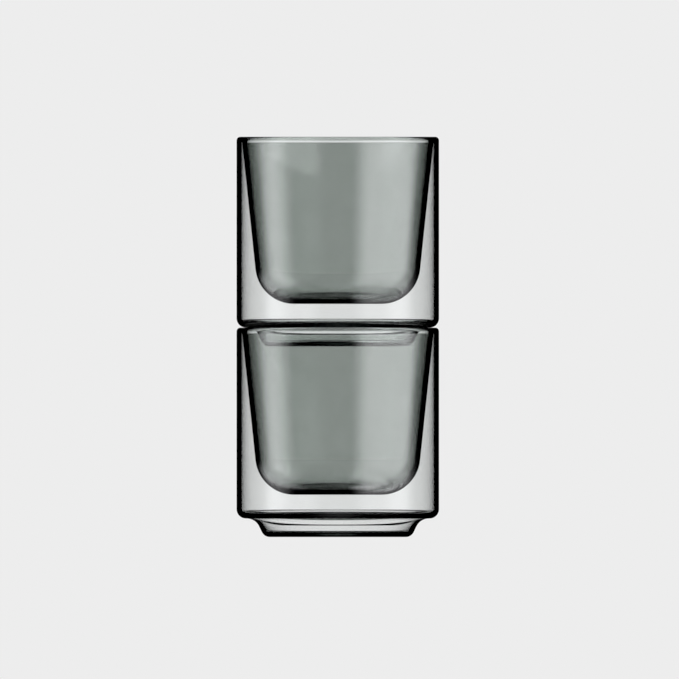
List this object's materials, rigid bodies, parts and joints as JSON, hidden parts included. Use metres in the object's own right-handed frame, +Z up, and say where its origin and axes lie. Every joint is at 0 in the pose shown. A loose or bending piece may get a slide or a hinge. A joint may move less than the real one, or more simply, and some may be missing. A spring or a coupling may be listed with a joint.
{
  "type": "espresso glass",
  "caption": "Stacking double-wall espresso glasses with a clear straight-walled outer shell and rim, a smoke tapered inner cup and a stepped foot that nests in the mouth of the glass below.",
  "frame": {"origin": "centre of the lower glass's base, on the surface it stands on", "axes": "+Z up along the glasses' common axis; the glasses are round, so +X and -Y are any two level directions, with -Y towards the viewer"},
  "size_m": [0.0584, 0.0584, 0.1155],
  "materials": {
    "clear_glass": "fire-polished clear glass",
    "smoke_glass": "fire-polished smoke-grey glass",
    "seal_glass": "clear fused drop"
  },
  "bodies": {
    "lower_glass": {"lower_outer_shell": "clear_glass", "lower_inner_cup": "smoke_glass", "lower_vent_seal": "seal_glass"},
    "upper_glass": {"upper_outer_shell": "clear_glass", "upper_inner_cup": "smoke_glass", "upper_vent_seal": "seal_glass"}
  },
  "joints": [
    {"name": "upper_lift", "type": "slide", "parent": "lower_glass", "child": "upper_glass", "axis": [0, 0, 1], "range_m": [0, 0.07]}
  ]
}
